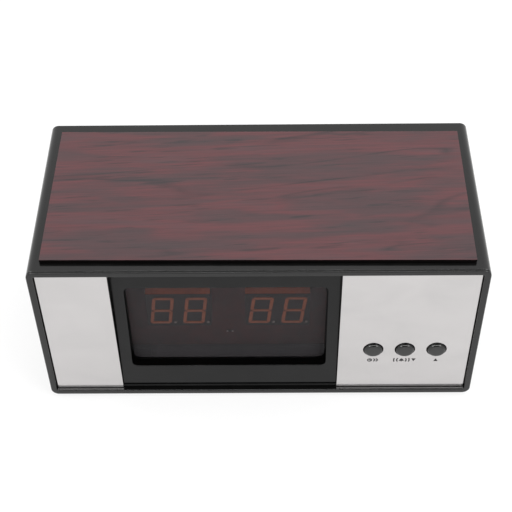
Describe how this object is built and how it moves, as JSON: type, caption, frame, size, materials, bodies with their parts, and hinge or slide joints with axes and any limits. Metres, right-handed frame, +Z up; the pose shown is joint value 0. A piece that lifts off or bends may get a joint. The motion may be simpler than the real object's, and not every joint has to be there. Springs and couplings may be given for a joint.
{
  "type": "desk alarm clock",
  "caption": "Box-shaped desk alarm clock with LED digits behind a smoked window, metal face plates, round push buttons and a wood-grain top panel.",
  "frame": {"origin": "middle of the footprint, on the surface that the rubber feet stand on", "axes": "+X along the clock's width, to the viewer's right when facing the display; -Y out of the display; +Z up"},
  "size_m": [0.165, 0.0794, 0.0744],
  "materials": {
    "black_plastic": "satin moulded black plastic",
    "surround_black": "semi-gloss black plastic",
    "bright_plate": "bright silver sheet",
    "smoked_acrylic": "clear smoked acrylic",
    "wood_film": "satin mahogany wood-grain film",
    "led_module": "red-brown display moulding",
    "small_led": "clear epoxy lens",
    "circuit_board": "brown phenolic board",
    "moulded_black": "black moulding compound",
    "tinned_steel": "tinned",
    "capacitor_sleeve": "dark blue shrink sleeve",
    "cream_nylon": "natural nylon",
    "button_plastic": "satin dark grey plastic",
    "black_nylon": "moulded black nylon",
    "wire_insulation": "black lead jacket",
    "foot_rubber": "matt rubber",
    "screw_steel": "zinc plated"
  },
  "bodies": {
    "case": {"case_sleeve": "black_plastic", "front_bezel": "black_plastic", "back_cover": "black_plastic", "left_face_plate": "bright_plate", "right_face_plate": "bright_plate", "display_surround": "surround_black", "display_window": "smoked_acrylic", "wood_top_panel": "wood_film", "left_led_module": "led_module", "right_led_module": "led_module", "indicator_led": "small_led", "main_board": "circuit_board", "button_board": "circuit_board", "clock_chip": "moulded_black", "driver_chip": "moulded_black", "buzzer": "moulded_black", "crystal": "tinned_steel", "supply_capacitor": "capacitor_sleeve", "power_plug": "cream_nylon", "cell_plug": "cream_nylon", "board_header": "black_nylon", "set_switch": "black_nylon", "alarm_switch": "black_nylon", "up_switch": "black_nylon", "power_socket": "black_nylon", "coin_cell_holder": "black_nylon", "coin_cell": "tinned_steel", "cell_front_contact": "tinned_steel", "cell_side_contact": "tinned_steel", "power_lead": "wire_insulation", "battery_lead": "wire_insulation", "rubber_foot_1": "foot_rubber", "rubber_foot_2": "foot_rubber", "rubber_foot_3": "foot_rubber", "rubber_foot_4": "foot_rubber", "bezel_screw_1": "screw_steel", "bezel_screw_2": "screw_steel", "bezel_screw_3": "screw_steel", "bezel_screw_4": "screw_steel", "board_screw_1": "screw_steel", "board_screw_2": "screw_steel", "board_screw_3": "screw_steel", "board_screw_4": "screw_steel", "back_cover_screw_1": "screw_steel", "back_cover_screw_2": "screw_steel", "back_cover_screw_3": "screw_steel", "back_cover_screw_4": "screw_steel", "surround_screw_1": "screw_steel", "surround_screw_2": "screw_steel", "button_board_screw_1": "screw_steel", "button_board_screw_2": "screw_steel"},
    "set_key": {"set_button": "button_plastic", "set_plunger": "black_nylon"},
    "alarm_key": {"alarm_button": "button_plastic", "alarm_plunger": "black_nylon"},
    "up_key": {"up_button": "button_plastic", "up_plunger": "black_nylon"},
    "cell_door": {"battery_cap": "black_plastic"}
  },
  "joints": [
    {"name": "set_key_press", "type": "slide", "parent": "case", "child": "set_key", "axis": [0, 1, 0], "range_m": [0, 0.0005], "stiffness_N_per_m": 600},
    {"name": "alarm_key_press", "type": "slide", "parent": "case", "child": "alarm_key", "axis": [0, 1, 0], "range_m": [0, 0.0005], "stiffness_N_per_m": 600},
    {"name": "up_key_press", "type": "slide", "parent": "case", "child": "up_key", "axis": [0, 1, 0], "range_m": [0, 0.0005], "stiffness_N_per_m": 600},
    {"name": "cell_door_turn", "type": "hinge", "parent": "case", "child": "cell_door", "pos_m": [0.0352, 0.03895, 0.03705], "axis": [0, 1, 0], "range_deg": [0, 45]}
  ]
}
